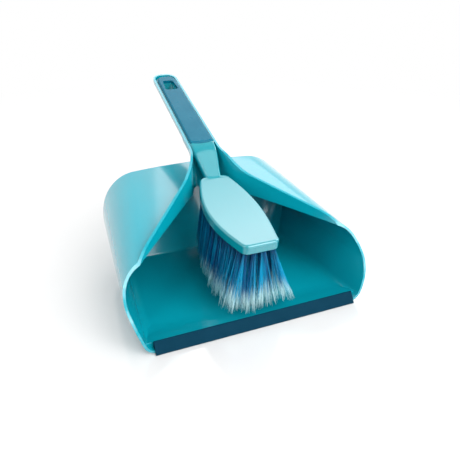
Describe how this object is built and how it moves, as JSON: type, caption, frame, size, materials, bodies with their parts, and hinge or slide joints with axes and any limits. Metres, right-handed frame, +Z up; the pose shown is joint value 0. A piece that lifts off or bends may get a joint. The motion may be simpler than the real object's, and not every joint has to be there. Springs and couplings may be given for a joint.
{
  "type": "dust pan and brush set",
  "caption": "Hooded dust pan with a rubber front lip and a trough handle, and a hand brush with a soft grip that nests in the pan's handle.",
  "frame": {"origin": "on the ground at the middle of the pan's flat underside", "axes": "+Z up, +Y from the lip towards the handle's end, +X across, square to both"},
  "size_m": [0.2504, 0.314, 0.1853],
  "materials": {
    "shell": "glossy injection-moulded plastic",
    "lip": "matte soft rubber",
    "brush_plastic": "glossy injection-moulded plastic",
    "grip": "satin soft-touch overmould",
    "bristle": "drawn filaments with split pale tips",
    "anchor_metal": "plain wire"
  },
  "bodies": {
    "pan": {"pan_body": "shell", "lip_strip": "lip"},
    "brush": {"brush_body": "brush_plastic", "handle_grip": "grip", "tuft_anchors": "anchor_metal", "tuft_row_01": "bristle", "tuft_row_02": "bristle", "tuft_row_03": "bristle", "tuft_row_04": "bristle", "tuft_row_05": "bristle", "tuft_row_06": "bristle", "tuft_row_07": "bristle", "tuft_row_08": "bristle", "tuft_row_09": "bristle", "tuft_row_10": "bristle", "tuft_row_11": "bristle", "tuft_row_12": "bristle", "tuft_row_13": "bristle", "tuft_row_14": "bristle", "tuft_row_15": "bristle"}
  },
  "joints": [
    {"name": "brush_lift", "type": "slide", "parent": "pan", "child": "brush", "axis": [0, -0.3107, 0.9505], "range_m": [0, 0.16]}
  ]
}
